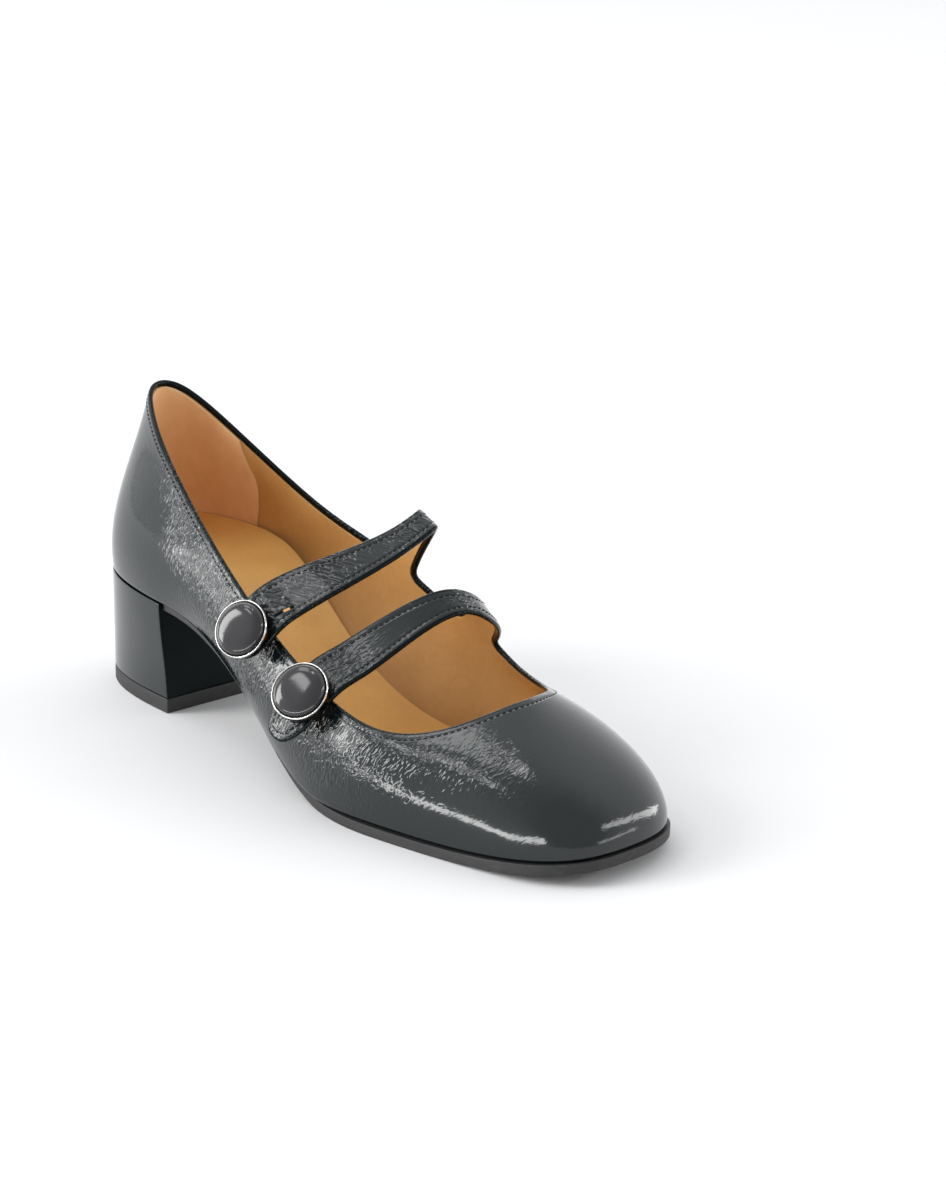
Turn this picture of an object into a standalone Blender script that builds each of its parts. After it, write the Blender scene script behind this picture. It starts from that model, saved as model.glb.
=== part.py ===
"""Right-foot block-heel pump with two buttoned instep straps, worked out from the sizes of its last.

Metres, +Z up, toe towards +X, inner side (big toe) towards +Y. The origin is the middle of the shoe's
box, on the floor.
"""

import math
from typing import NamedTuple

import bmesh
import bpy
import numpy as np
from mathutils import Matrix, Vector

MM = 0.001

# Last: the sizes that everything else follows.
LENGTH = 243 * MM  # back of the heel to the tip of the toe
BALL_WIDTH = 80 * MM  # across the joints of the toes
COLLAR_HEIGHT = 107 * MM  # top edge at the back, above the floor
INSTEP_HEIGHT = 78.5 * MM  # crest of the rear strap, above the floor
HEEL_HEIGHT = 43.5 * MM  # seat at the back of the heel, above the floor

# Upper
WALL = 1.7 * MM
STATIONS = 106  # cuts round the feather edge, without those at the straps' roots
STATION_SPARE = 0.4  # no even cut is nearer than this to a root, in steps
WALL_STEPS = 11  # faces from the feather edge to the top edge

# Soles
FIT = 0.3 * MM  # gap between two pieces that meet
SOLE_FOREPART = 3.4 * MM
SOLE_WAIST = 2.4 * MM
SOLE_ROWS = 44
SOLE_OVERHANG = 0.9 * MM  # beyond the feather edge, round the forepart
SOLE_TUCK = 1.5 * MM  # inside it, in the waist
OVERHANG_FROM = 0.69  # the edge goes from the one to the other over this run, in lengths
OVERHANG_RUN = 0.14
WAIST_RUN = 0.2  # the sole thins over this run behind the flat of the forepart, in lengths
TOE_SPRING = 5.0 * MM
FLAT_FROM = 0.617  # flat of the forepart, in lengths from the heel
FLAT_TO = 0.775
INSOLE = 2.6 * MM
INSOLE_INSET = WALL + 0.7 * MM
INSOLE_COLUMNS = 11
INSOLE_CUP = 0.8 * MM  # how far the insole's edge turns up
ARCH_INNER = 1.6 * MM  # and how much more at the arch, on the inner and the outer side
ARCH_OUTER = 1.2 * MM
HEEL_PAD = 9.5 * MM  # how much thicker the insole is over the seat
INSOLE_LEVEL = 1.5 * MM  # step between the heights at which the room inside is measured
SOLE_END = 0.2 * MM  # the last cut of the outsole, short of its tip
INSOLE_END = 0.4 * MM  # the insole stops this short of the room at the heel and the toe
CUP_FADE_HEEL = 8.0 * MM  # the turned-up edge fades out over these lengths at the two ends
CUP_FADE_TOE = 30.0 * MM
PAD_FROM = 0.15  # the pad runs out between these two, in lengths from the heel
PAD_TO = 0.43
ARCH_AT = 0.34  # middle of the arch, in lengths from the heel
ARCH_SPREAD = 0.17

# Heel
BREAST = 0.1975  # front of the heel block, in lengths from the heel
SEAT_DROP = 3.0 * MM  # the seat is lower at the breast than at the back
TOP_PIECE = 5.3 * MM
HEEL_POINTS = 30
HEEL_RINGS = 5
HEEL_ROUND = 2.6  # exponent of the heel's D outline
HEEL_FOOT = (-3.6 * MM, 0.322 * BALL_WIDTH, 0.315 * BALL_WIDTH)  # back, outer and inner reach
HEEL_SEAT = (0.2 * MM, 0.358 * BALL_WIDTH, 0.327 * BALL_WIDTH)

# Straps and buttons
BUTTON_RADIUS = 9.4 * MM
BUTTON_RIM = 0.9 * MM
BUTTON_CUP_HEIGHT = 4.2 * MM
BUTTON_CUP_FLOOR = 1.0 * MM
BUTTON_DOME = 3.0 * MM  # height of the dome
DOME_SINK = 0.6 * MM  # the dome springs from this far below the rim
DOME_STEPS = 5
BUTTON_SIDES = 32
BUTTON_SEAT = 0.45 * MM  # the cup's base above the strap's outer face, at its middle


class Cut(NamedTuple):
    """One cut through the upper: a curve from the feather edge up to the top edge."""

    foot_along: float  # feather edge, % of LENGTH from the back of the heel
    foot_out: float  # feather edge, % of BALL_WIDTH, inner side positive
    edge_along: float  # top edge, % of LENGTH
    edge_out: float  # top edge, % of BALL_WIDTH
    edge_up: float  # top edge above the floor, % of COLLAR_HEIGHT
    rise: float  # how high the wall stands up before it turns, % of the cut
    belly: float  # swell of the wall beyond the feather edge, % of BALL_WIDTH
    crown: float  # how long the wall keeps the lean of its top edge, % of the cut
    lean: float  # angle of the wall to the floor at the top edge, degrees


# Round the shoe: back of the heel, outer side, toe, inner side.
CUTS = (
    Cut(0.0, 0.0, 5.0, -0.5, 100.0, 35, 4.2, 35, 76),
    Cut(1.2, -16.2, 5.8, -8.3, 98.8, 35, 4.2, 35, 77),
    Cut(4.9, -27.5, 8.6, -14.6, 94.9, 35, 4.0, 35, 78),
    Cut(11.5, -33.8, 13.8, -21.7, 88.0, 36, 4.5, 35, 79),
    Cut(19.8, -35.6, 21.0, -28.1, 78.6, 36, 5.5, 35, 79),
    Cut(29.6, -35.0, 30.0, -33.8, 66.6, 36, 8.0, 35, 77),
    Cut(41.2, -38.8, 40.7, -38.8, 53.3, 36, 8.0, 35, 73),
    Cut(51.4, -45.6, 50.2, -41.9, 43.5, 40, 5.0, 35, 66),
    Cut(59.7, -50.0, 58.0, -43.5, 36.4, 42, 3.0, 35, 60),
    Cut(67.1, -50.0, 64.6, -43.8, 32.2, 42, 2.5, 36, 50),
    Cut(74.9, -46.2, 70.8, -40.0, 30.4, 37, 2.5, 36, 38),
    Cut(83.5, -40.6, 75.7, -30.0, 32.2, 32, 2.0, 38, 30),
    Cut(91.4, -34.4, 78.6, -18.8, 35.5, 29, 2.0, 38, 26),
    Cut(96.7, -26.2, 80.0, -8.8, 37.9, 28, 2.0, 38, 24),
    Cut(99.4, -15.0, 80.7, -2.5, 39.1, 27, 2.0, 38, 23),
    Cut(100.0, 3.0, 80.7, 5.0, 39.3, 27, 2.0, 38, 23),
    Cut(99.3, 18.0, 80.0, 11.9, 38.8, 27, 2.0, 38, 23),
    Cut(96.5, 32.8, 78.6, 20.0, 37.4, 27, 2.0, 38, 25),
    Cut(91.3, 42.5, 76.1, 28.1, 35.0, 29, 2.0, 37, 30),
    Cut(83.5, 48.0, 72.0, 36.2, 32.7, 32, 2.0, 37, 40),
    Cut(74.9, 49.4, 66.3, 41.9, 32.7, 38, 2.5, 36, 54),
    Cut(67.1, 45.6, 61.3, 44.4, 36.0, 40, 4.0, 35, 66),
    Cut(59.7, 38.8, 56.4, 43.8, 41.1, 38, 6.5, 35, 74),
    Cut(51.4, 29.4, 49.4, 41.2, 46.5, 36, 10.0, 35, 80),
    Cut(41.2, 25.0, 41.6, 38.8, 54.5, 36, 12.0, 35, 82),
    Cut(29.6, 28.1, 30.9, 33.4, 63.0, 36, 10.0, 35, 82),
    Cut(19.8, 32.5, 21.8, 27.8, 73.2, 36, 6.0, 35, 81),
    Cut(11.5, 31.9, 14.2, 21.7, 84.0, 36, 4.5, 35, 80),
    Cut(4.9, 25.6, 8.8, 14.6, 93.2, 35, 4.0, 35, 78),
    Cut(1.2, 15.6, 6.0, 7.8, 98.2, 35, 3.5, 35, 77),
)


class Strap(NamedTuple):
    """One strap, from its root in the inner top edge, over the instep, to its button.

    Percent are of the length, the ball width and the instep height; angles are in degrees.
    """

    name: str
    root_rear: float  # where the strap leaves the inner top edge, percent along
    root_front: float
    root_lean: float  # how far it leans forward there, as a share of its rise
    root_pull: float  # how long it keeps that direction
    crest_along: float  # its highest point
    crest_out: float
    crest_up: float
    crest_fall: float  # how steeply it already falls there
    crest_lean: float  # its front edge lies this much lower than its rear edge
    width: float  # at the crest, m
    crossing: float  # where it crosses the outer top edge, percent along
    pitch: float  # steepness under the button
    twist: float  # how far the button is turned towards the toe
    lift: float  # air between the outer wall and the strap, m
    drop: float  # from the outer top edge down to the middle of the button, m
    bend: float  # how sharply the strap turns in above the button, 1/m
    tab_width: float  # under the button, m
    tab_length: float  # beyond the middle of the button, m


STRAPS = (
    Strap(
        "rear",
        root_rear=41.3, root_front=45.4, root_lean=0.52, root_pull=1.4,
        crest_along=51.7, crest_out=26.0, crest_up=98.9, crest_fall=26, crest_lean=24,
        width=10.3 * MM, crossing=46.0, pitch=60.0, twist=5.0, lift=2.6 * MM, drop=4.3 * MM,
        bend=41.6, tab_width=17.4 * MM, tab_length=8.9 * MM,
    ),
    Strap(
        "front",
        root_rear=53.8, root_front=60.6, root_lean=0.9, root_pull=1.1,
        crest_along=64.6, crest_out=20.3, crest_up=76.0, crest_fall=-31, crest_lean=41.6,
        width=9.4 * MM, crossing=58.7, pitch=48.7, twist=2.4, lift=1.4 * MM, drop=4.3 * MM,
        bend=50.0, tab_width=16.0 * MM, tab_length=17.0 * MM,
    ),
)
STRAP_LINES = 7  # lengthwise lines of a strap
ARCH_STEPS = 9  # faces from the root to the crest, and again from the crest to the button
TAB_STEPS = 7  # faces under the button and in the tab beyond it
STRAP_FLAT = 7.0 * MM  # the strap is flat this far on each side of its button's middle
STRAP_TURN = 6.5 * MM  # the strap turns in over this length above its flat
STRAP_CURL = 28.0  # how fast the tab beyond the button turns in to the wall, 1/m


# ---------------------------------------------------------------- curves


def ring_spline(knots, values, period):
    """A smooth closed curve through values at knots, as a function of the distance round it."""
    gaps = np.diff(np.append(knots, period))
    count = len(knots)
    system = np.zeros((count, count))
    right = np.zeros_like(values)
    for i in range(count):
        before, after = (i - 1) % count, (i + 1) % count
        system[i, before] += gaps[before]
        system[i, i] += 2 * (gaps[before] + gaps[i])
        system[i, after] += gaps[i]
        right[i] = 6 * (
            (values[after] - values[i]) / gaps[i] - (values[i] - values[before]) / gaps[before]
        )
    bend = np.linalg.solve(system, right)

    def at(distance):
        distance = np.mod(np.atleast_1d(distance), period)
        i = np.searchsorted(knots, distance, side="right") - 1
        j = (i + 1) % count
        gap = gaps[i][:, None]
        ahead = (distance - knots[i])[:, None]
        back = gap - ahead
        return (
            (bend[i] * back**3 + bend[j] * ahead**3) / (6 * gap)
            + (values[i] / gap - bend[i] * gap / 6) * back
            + (values[j] / gap - bend[j] * gap / 6) * ahead
        )

    return at


def smoothstep(value):
    value = np.clip(value, 0.0, 1.0)
    return value * value * (3 - 2 * value)


def unit(vectors):
    return vectors / np.linalg.norm(vectors, axis=-1, keepdims=True)


# ---------------------------------------------------------------- the last


def feather_height(along):
    """Height of the upper's bottom edge: heel seat, shank, flat forepart and toe spring."""
    low = SOLE_FOREPART + FIT
    breast, flat_from, flat_to = BREAST * LENGTH, FLAT_FROM * LENGTH, FLAT_TO * LENGTH
    at_breast = HEEL_HEIGHT - SEAT_DROP
    shank = low + (at_breast - low) * smoothstep((flat_from - along) / (flat_from - breast))
    seat = SEAT_DROP * np.clip(1 - along / breast, 0.0, 1.0)
    spring = TOE_SPRING * np.clip((along - flat_to) / (LENGTH - flat_to), 0.0, 1.0) ** 2
    return shank + seat + spring


def make_last():
    """The columns of CUTS as a smooth function of the distance round the feather edge."""
    table = np.array(CUTS, float)
    foot = table[:, :2] * (LENGTH / 100, BALL_WIDTH / 100)
    steps = np.sqrt(np.linalg.norm(np.roll(foot, -1, axis=0) - foot, axis=1))
    knots = np.concatenate(([0.0], np.cumsum(steps)[:-1]))
    return ring_spline(knots, table, steps.sum()), steps.sum()


LAST, ROUND = make_last()


def wall_points(turn, height):
    """Outer surface of the upper: turn is the distance round, in turns, and height runs from 0 at the
    feather edge to 1 at the top edge."""
    turn, height = np.broadcast_arrays(np.asarray(turn, float), np.asarray(height, float))
    shape = turn.shape
    turn, height = turn.ravel(), height.ravel()
    cut = Cut(*LAST(turn * ROUND).T[:, :, None])
    nudge = 1e-4
    ahead, behind = LAST((turn + nudge) * ROUND), LAST((turn - nudge) * ROUND)
    run = unit((ahead[:, :2] - behind[:, :2]) * (LENGTH, BALL_WIDTH))
    outward = np.column_stack((run[:, 1], -run[:, 0], np.zeros(len(run))))
    up = np.array([0.0, 0.0, 1.0])
    along, out = cut.foot_along * LENGTH / 100, cut.foot_out * BALL_WIDTH / 100
    foot = np.hstack((along, out, feather_height(along)))
    edge = np.hstack((cut.edge_along * LENGTH, cut.edge_out * BALL_WIDTH, cut.edge_up * COLLAR_HEIGHT))
    edge = edge / 100
    reach = np.linalg.norm(edge - foot, axis=1)[:, None] / 100
    lean = np.radians(cut.lean)
    stand = foot + up * reach * cut.rise + outward * BALL_WIDTH * cut.belly / 100
    crown = edge + reach * cut.crown * (outward * np.cos(lean) - up * np.sin(lean))
    h = height[:, None]
    points = (
        foot * (1 - h) ** 3 + 3 * stand * h * (1 - h) ** 2 + 3 * crown * h * h * (1 - h) + edge * h**3
    )
    return points.reshape(shape + (3,))


def wall_normals(turn, height):
    """Outward normals of the upper's outer surface."""
    nudge = 2e-4
    turn, height = np.broadcast_arrays(np.asarray(turn, float), np.asarray(height, float))
    low, high = np.clip(height - nudge, 0, 1), np.clip(height + nudge, 0, 1)
    along = wall_points(turn + nudge, height) - wall_points(turn - nudge, height)
    up = wall_points(turn, high) - wall_points(turn, low)
    return unit(np.cross(along, up))


# ---------------------------------------------------------------- straps


def turn_at_edge(percent, inner):
    """Where round the shoe the top edge is this far along, on the inner or the outer side."""
    turns = np.linspace(0.5, 1.0, 2001) if inner else np.linspace(0.5, 0.0, 2001)
    along = LAST(turns * ROUND)[:, 2]
    behind_throat = np.argmax(along)
    return float(np.interp(-percent, -along[behind_throat:], turns[behind_throat:]))


def strap_roots(strap):
    """Where round the shoe the lengthwise lines of a strap leave the inner top edge."""
    front = turn_at_edge(strap.root_front, inner=True)
    rear = turn_at_edge(strap.root_rear, inner=True)
    return np.linspace(front, rear, STRAP_LINES)


def hermite(start, end, start_pull, end_pull, share):
    share = np.asarray(share)[:, None]
    square, cube = share**2, share**3
    return (
        start * (2 * cube - 3 * square + 1)
        + start_pull * (cube - 2 * square + share)
        + end * (3 * square - 2 * cube)
        + end_pull * (cube - square)
    )


def button_seat(strap):
    """Where a strap passes under its button: the middle, forward, down the strap and facing out."""
    turn = turn_at_edge(strap.crossing, inner=False)
    nudge = 2e-3
    forward = unit(wall_points(turn + nudge, 1.0) - wall_points(turn - nudge, 1.0))
    outward = unit(np.array([forward[1], -forward[0], 0.0]))
    pitch = math.radians(strap.pitch)
    down = outward * math.cos(pitch) - np.array([0.0, 0.0, math.sin(pitch)])
    facing = unit(np.cross(forward, -down))
    twist = math.radians(strap.twist)
    facing, forward = (
        facing * math.cos(twist) + forward * math.sin(twist),
        forward * math.cos(twist) - facing * math.sin(twist),
    )
    down = np.cross(forward, facing)
    middle = wall_points(turn, 1.0) + facing * (WALL + strap.lift) + down * strap.drop
    return middle, forward, down, facing


def strap_line(strap, root_turn, across, arch_steps, tab_steps):
    """One lengthwise line of a strap's outer face. across runs from -0.5 at the rear edge to 0.5."""
    root = wall_points(root_turn, 1.0)
    root_pull = unit(unit(root - wall_points(root_turn, 0.96)) + np.array([strap.root_lean, 0.0, 0.0]))
    crest = np.array(
        [
            strap.crest_along * LENGTH / 100,
            strap.crest_out * BALL_WIDTH / 100,
            strap.crest_up * INSTEP_HEIGHT / 100,
        ]
    )
    lean = math.radians(strap.crest_lean)
    crest = crest + across * strap.width * np.array([math.cos(lean), 0.0, -math.sin(lean)])
    fall = math.radians(strap.crest_fall)
    crest_run = np.array([0.0, -math.cos(fall), -math.sin(fall)])
    middle, forward, down, facing = button_seat(strap)
    corner = math.sqrt(max(0.0, 1 - (2 * across) ** 2))
    end = strap.tab_length - strap.tab_width / 2 * (1 - corner)
    reach = np.linspace(-STRAP_FLAT - STRAP_TURN, end, tab_steps + 1)[:, None]
    curl = STRAP_CURL * np.clip(reach - STRAP_FLAT, 0.0, None) ** 2
    curl = curl + strap.bend * np.clip(-reach - STRAP_FLAT, 0.0, None) ** 2
    tab = middle + forward * across * strap.tab_width + down * reach - facing * curl
    shares = np.linspace(0, 1, arch_steps + 1)[1:]
    rise = np.linalg.norm(crest - root)
    span = np.linalg.norm(tab[0] - crest)
    arch = hermite(root, crest, root_pull * rise * strap.root_pull, crest_run * rise * 1.0, shares)
    tab_run = unit(down + facing * strap.bend * 2 * STRAP_TURN)
    slope = hermite(crest, tab[0], crest_run * span, tab_run * span * 0.8, shares)
    return np.concatenate((arch, slope, tab[1:]))


def strap_grid(strap, root_turns, arch_steps, tab_steps):
    """Points of a strap's outer face, a row for each lengthwise line, the root left out."""
    acrosses = np.linspace(-0.5, 0.5, len(root_turns))
    return np.array(
        [
            strap_line(strap, turn, across, arch_steps, tab_steps)
            for turn, across in zip(root_turns, acrosses)
        ]
    )


# ---------------------------------------------------------------- building


def add_object(name, verts, faces, material, smooth_angle=40):
    """A mesh object from bmesh, with its faces turned outwards."""
    mesh = bpy.data.meshes.new(name)
    build = bmesh.new()
    made = [build.verts.new(Vector(point)) for point in verts]
    for face in faces:
        build.faces.new([made[i] for i in face])
    bmesh.ops.recalc_face_normals(build, faces=build.faces)
    build.to_mesh(mesh)
    build.free()
    mesh.shade_smooth()
    mesh.set_sharp_from_angle(angle=math.radians(smooth_angle))
    mesh.materials.append(material)
    obj = bpy.data.objects.new(name, mesh)
    bpy.context.scene.collection.objects.link(obj)
    return obj


def add_material(name, colour, roughness, metallic=0.0):
    material = bpy.data.materials.new(name)
    material.use_nodes = True
    shader = material.node_tree.nodes["Principled BSDF"]
    shader.inputs["Base Color"].default_value = (*colour, 1.0)
    shader.inputs["Roughness"].default_value = roughness
    shader.inputs["Metallic"].default_value = metallic
    return material


def station_turns():
    """Where the wall is cut: evenly round the shoe, and more closely where a strap grows out of it."""
    turns = np.arange(STATIONS) / STATIONS
    for strap in STRAPS:
        roots = strap_roots(strap)
        spare = STATION_SPARE / STATIONS
        clear = (turns < roots.min() - spare) | (turns > roots.max() + spare)
        turns = np.append(turns[clear], roots)
    return np.sort(turns)


def build_upper(material):
    """The shell of the last with both straps growing out of its inner top edge."""
    turns = station_turns()
    heights = np.linspace(0, 1, WALL_STEPS + 1)
    wall = wall_points(turns[:, None], heights[None, :])
    verts = list(wall.reshape(-1, 3))
    rows = WALL_STEPS + 1
    faces = []
    for i in range(len(turns)):
        after = (i + 1) % len(turns)
        for j in range(WALL_STEPS):
            faces.append((i * rows + j, after * rows + j, after * rows + j + 1, i * rows + j + 1))
    for strap in STRAPS:
        roots = np.flatnonzero(np.isin(turns, strap_roots(strap)))[::-1]
        grid = strap_grid(strap, turns[roots], ARCH_STEPS, TAB_STEPS)
        lines = []
        for root, line in zip(roots, grid):
            first = len(verts)
            lines.append([int(root) * rows + WALL_STEPS, *range(first, first + len(line))])
            verts.extend(line)
        for left, right in zip(lines, lines[1:]):
            for j in range(len(left) - 1):
                faces.append((left[j], right[j], right[j + 1], left[j + 1]))
    obj = add_object("upper", verts, faces, material)
    shell = obj.modifiers.new("wall", "SOLIDIFY")
    shell.thickness = WALL
    shell.offset = -1.0
    return obj


def edges_of(outline, alongs):
    """Outer and inner side position of a closed outline at each distance along, and its two ends."""
    heel = int(np.argmin(outline[:-1, 0]))
    line = np.roll(outline[:-1], -heel, axis=0)
    toe = int(np.argmax(line[:, 0]))
    outer, inner = line[: toe + 1], np.vstack((line[toe:], line[:1]))[::-1]
    return (
        np.interp(alongs, outer[:, 0], outer[:, 1]),
        np.interp(alongs, inner[:, 0], inner[:, 1]),
        outer[0, 0],
        outer[-1, 0],
    )


def foot_edges(alongs, spread):
    """Outer and inner edge of the feather line at each distance along, moved out by spread."""
    turns = np.linspace(0, 1, 1441)
    line = LAST(turns * ROUND)[:, :2] * (LENGTH / 100, BALL_WIDTH / 100)
    run = unit(np.roll(line, -1, axis=0) - np.roll(line, 1, axis=0))
    shift = spread(line[:, 0])[:, None] if callable(spread) else spread
    return edges_of(line + shift * np.column_stack((run[:, 1], -run[:, 0])), alongs)


def add_slab(name, alongs, spread, top, bottom, material):
    """A sole-like solid between two heights that follow the last."""
    outer, inner, _, _ = foot_edges(alongs, spread)
    verts, faces = [], []
    for x, left, right, high, low in zip(alongs, outer, inner, top(alongs), bottom(alongs)):
        verts += [(x, left, low), (x, right, low), (x, right, high), (x, left, high)]
    for i in range(len(alongs) - 1):
        here, there = 4 * i, 4 * (i + 1)
        for a, b in ((0, 1), (1, 2), (2, 3), (3, 0)):
            faces.append((here + a, here + b, there + b, there + a))
    last = 4 * (len(alongs) - 1)
    faces += [(3, 2, 1, 0), (last, last + 1, last + 2, last + 3)]
    return add_object(name, verts, faces, material)


def eased(start, end, count, start_round):
    """Distances from start to end, closer together at the end, and at the start if it is round."""
    share = np.linspace(0, 1, count)
    if start_round:
        share = (1 - np.cos(share * math.pi)) / 2
    else:
        share = np.sin(share * math.pi / 2)
    return start + (end - start) * share


def build_outsole(material):
    def overhang(along):
        tucked = smoothstep((OVERHANG_FROM * LENGTH - along) / (OVERHANG_RUN * LENGTH))
        return SOLE_OVERHANG - (SOLE_OVERHANG + SOLE_TUCK) * tucked

    def top(along):
        return feather_height(along) - FIT

    def bottom(along):
        thin = smoothstep((FLAT_FROM * LENGTH - along) / (WAIST_RUN * LENGTH))
        return top(along) - SOLE_FOREPART + (SOLE_FOREPART - SOLE_WAIST) * thin

    _, _, _, tip = foot_edges(np.zeros(1), overhang)
    alongs = eased(BREAST * LENGTH + FIT, tip - SOLE_END, SOLE_ROWS, start_round=False)
    return add_slab("outsole", alongs, overhang, top, bottom, material)


def inside_outlines(levels):
    """Outline of the room inside the upper at each height above the feather edge."""
    turns = np.linspace(0, 1, 481)[:, None]
    steps = np.linspace(0, 0.5, 26)[None, :]
    face = wall_points(turns, steps) - (WALL + FIT) * wall_normals(turns, steps)
    rise = np.maximum.accumulate(face[..., 2] - feather_height(face[..., 0]), axis=1)
    return [
        np.array(
            [[np.interp(level, up, row[:, axis]) for axis in (0, 1)] for up, row in zip(rise, face)]
        )
        for level in levels
    ]


def build_insole(material):
    """A sock with a pad over the seat, turned up a little at its edges."""
    levels = np.arange(0.0, INSOLE + HEEL_PAD + INSOLE_CUP + ARCH_INNER, INSOLE_LEVEL)
    outlines = inside_outlines(levels)
    heel = max(edges_of(outline, np.zeros(1))[2] for outline in outlines)
    _, _, slab_heel, tip = foot_edges(np.zeros(1), -INSOLE_INSET)
    alongs = eased(max(heel, slab_heel) + INSOLE_END, tip - INSOLE_END, SOLE_ROWS, start_round=True)
    room = np.array([edges_of(outline, alongs)[:2] for outline in outlines])
    slab = foot_edges(alongs, -INSOLE_INSET)[:2]
    shares = np.linspace(-1, 1, INSOLE_COLUMNS)
    verts = []
    for i, along in enumerate(alongs):
        place = along / LENGTH
        thick = INSOLE + HEEL_PAD * (1 - smoothstep((place - PAD_FROM) / (PAD_TO - PAD_FROM)))
        fade = min(1.0, (along - alongs[0]) / CUP_FADE_HEEL, (alongs[-1] - along) / CUP_FADE_TOE)
        arch = math.exp(-(((place - ARCH_AT) / ARCH_SPREAD) ** 2))
        cups = [(INSOLE_CUP + extra * arch) * max(0.0, fade) for extra in (ARCH_OUTER, ARCH_INNER)]
        reached = levels <= max(cups) + thick + INSOLE_LEVEL
        outer = min(-slab[0][i], np.min(-room[reached, 0, i]))
        inner = min(slab[1][i], np.min(room[reached, 1, i]))
        side = np.where(shares < 0, outer, inner) * shares
        turn_up = np.where(shares < 0, *cups) * np.abs(shares) ** 4
        base = feather_height(np.array([along]))[0] + turn_up
        verts += [(along, y, z) for y, z in zip(side, base)]
        verts += [(along, y, z + thick) for y, z in zip(side[::-1], base[::-1])]
    ring = 2 * INSOLE_COLUMNS
    rings = [verts[i : i + ring] for i in range(0, len(verts), ring)]
    return add_rings("insole", rings, material)


def heel_outline(share):
    """The heel's D outline, from its foot (share 0) to its seat (share 1)."""
    back, outer, inner = (foot + (seat - foot) * share for foot, seat in zip(HEEL_FOOT, HEEL_SEAT))
    breast = BREAST * LENGTH
    angles = np.linspace(-math.pi / 2, math.pi / 2, HEEL_POINTS)
    power = 2 / HEEL_ROUND
    x = breast - (breast - back) * np.abs(np.cos(angles)) ** power
    side = np.where(angles < 0, outer, inner)
    y = np.sign(angles) * side * np.abs(np.sin(angles)) ** power
    return np.column_stack((x, y))


def add_rings(name, rings, material):
    """A closed solid lofted through rings of points, with flat or curved ends."""
    count = len(rings[0])
    verts = [point for ring in rings for point in ring]
    faces = []
    for level in range(len(rings) - 1):
        for i in range(count):
            after = (i + 1) % count
            low, high = level * count, (level + 1) * count
            faces.append((low + i, low + after, high + after, high + i))
    for base in (0, (len(rings) - 1) * count):
        for i in range(count // 2 - 1):
            faces.append((base + i, base + i + 1, base + count - 2 - i, base + count - 1 - i))
    return add_object(name, verts, faces, material)


def build_heel(material):
    rings = []
    for share in np.linspace(0, 1, HEEL_RINGS):
        outline = heel_outline(smoothstep(share))
        seat = feather_height(outline[:, 0]) - FIT
        foot = TOP_PIECE + FIT
        rings.append(np.column_stack((outline, foot + (seat - foot) * share)))
    return add_rings("heel_block", rings, material)


def build_top_piece(material):
    outline = heel_outline(0.0)
    rings = [np.column_stack((outline, np.full(len(outline), z))) for z in (0.0, TOP_PIECE)]
    return add_rings("top_piece", rings, material)


def add_turned(name, profile, place, material):
    """A solid of revolution standing on a place: profile is (radius, height) from axis to axis."""
    middle, forward, down, facing = place
    rings = []
    verts = []
    for radius, height in profile:
        if radius == 0:
            rings.append([len(verts)])
            verts.append((0.0, 0.0, height))
            continue
        rings.append(list(range(len(verts), len(verts) + BUTTON_SIDES)))
        for i in range(BUTTON_SIDES):
            angle = 2 * math.pi * i / BUTTON_SIDES
            verts.append((radius * math.cos(angle), radius * math.sin(angle), height))
    faces = []
    for low, high in zip(rings, rings[1:]):
        for i in range(BUTTON_SIDES):
            after = (i + 1) % BUTTON_SIDES
            corners = [low[i % len(low)], low[after % len(low)], high[after % len(high)], high[i % len(high)]]
            faces.append(tuple(dict.fromkeys(corners)))
    obj = add_object(name, verts, faces, material, smooth_angle=35)
    obj.matrix_world = Matrix(
        [
            [forward[0], -down[0], facing[0], middle[0]],
            [forward[1], -down[1], facing[1], middle[1]],
            [forward[2], -down[2], facing[2], middle[2]],
            [0, 0, 0, 1],
        ]
    )
    return obj


def build_button(strap, metal, dome):
    """A round cup of polished metal on the strap, holding a domed cap."""
    place = button_seat(strap)
    seat = BUTTON_SEAT
    inside = BUTTON_RADIUS - BUTTON_RIM
    top = seat + BUTTON_CUP_HEIGHT
    floor = seat + BUTTON_CUP_FLOOR
    cup = [
        (0, seat),
        (BUTTON_RADIUS - 2 * BUTTON_RIM, seat),
        (BUTTON_RADIUS, seat + BUTTON_RIM),
        (BUTTON_RADIUS, top - BUTTON_RIM / 2),
        (BUTTON_RADIUS - BUTTON_RIM / 2, top),
        (inside, top - BUTTON_RIM / 3),
        (inside, floor),
        (0, floor),
    ]
    add_turned(f"{strap.name}_button_cup", cup, place, metal)
    cap_radius = inside - FIT
    cap = [(0, floor + FIT), (cap_radius, floor + FIT)]
    for i in range(DOME_STEPS):
        angle = math.pi / 2 * i / DOME_STEPS
        cap.append((cap_radius * math.cos(angle), top - DOME_SINK + BUTTON_DOME * math.sin(angle)))
    cap.append((0, top - DOME_SINK + BUTTON_DOME))
    add_turned(f"{strap.name}_button_cap", cap, place, dome)


def centre_on_floor():
    """Moves everything so that the middle of the shoe's box is the origin, on the floor."""
    bpy.context.view_layer.update()
    graph = bpy.context.evaluated_depsgraph_get()
    points = []
    objects = list(bpy.context.scene.collection.objects)
    for obj in objects:
        ready = obj.evaluated_get(graph)
        points += [obj.matrix_world @ vertex.co for vertex in ready.data.vertices]
    low = [min(point[axis] for point in points) for axis in range(3)]
    high = [max(point[axis] for point in points) for axis in range(3)]
    shift = Vector(((low[0] + high[0]) / 2, (low[1] + high[1]) / 2, low[2]))
    for obj in objects:
        obj.matrix_world = Matrix.Translation(-shift) @ obj.matrix_world


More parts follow.
